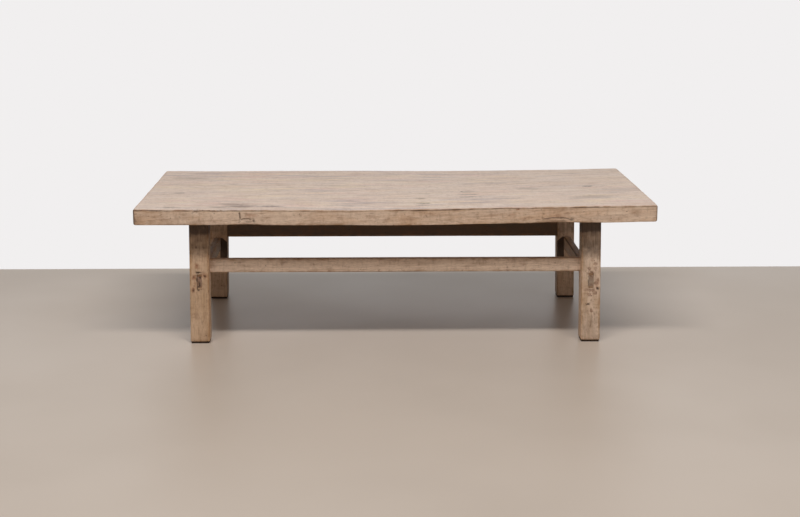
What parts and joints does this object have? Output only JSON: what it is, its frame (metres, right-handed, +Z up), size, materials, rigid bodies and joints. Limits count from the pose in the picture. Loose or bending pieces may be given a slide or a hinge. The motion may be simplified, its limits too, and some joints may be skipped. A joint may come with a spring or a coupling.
{
  "type": "kang table",
  "caption": "Low rectangular wooden table with a thick plank top on splayed square legs, joined by long stretchers and lower end stretchers.",
  "frame": {"origin": "centre of the footprint, on the floor under the foot pads", "axes": "+X along the table's length, +Y from the front to the back, +Z up"},
  "size_m": [1.6, 0.756, 0.4449],
  "materials": {
    "top_wood": "reclaimed elm, sanded and left pale and matt, with streaks, knots and old marks",
    "frame_wood": "reclaimed elm, sanded and waxed to a low sheen, warmer than the top",
    "batten_wood": "plain elm, unpolished",
    "joint_wood": "darker hardwood end grain, cut flush",
    "foot_pad": "matt black pad"
  },
  "bodies": {
    "root": {"top_front_board": "top_wood", "top_middle_board": "top_wood", "top_rear_board": "top_wood", "front_seam_tongues": "joint_wood", "rear_seam_tongues": "joint_wood", "left_batten": "batten_wood", "middle_batten": "batten_wood", "right_batten": "batten_wood", "front_left_leg": "frame_wood", "front_right_leg": "frame_wood", "rear_left_leg": "frame_wood", "rear_right_leg": "frame_wood", "front_stretcher": "frame_wood", "rear_stretcher": "frame_wood", "left_stretcher": "frame_wood", "right_stretcher": "frame_wood", "long_tenon_wedges": "joint_wood", "side_tenon_wedges": "joint_wood", "leg_tenon_wedges": "joint_wood", "front_left_foot_pad": "foot_pad", "front_right_foot_pad": "foot_pad", "rear_left_foot_pad": "foot_pad", "rear_right_foot_pad": "foot_pad"}
  },
  "joints": []
}
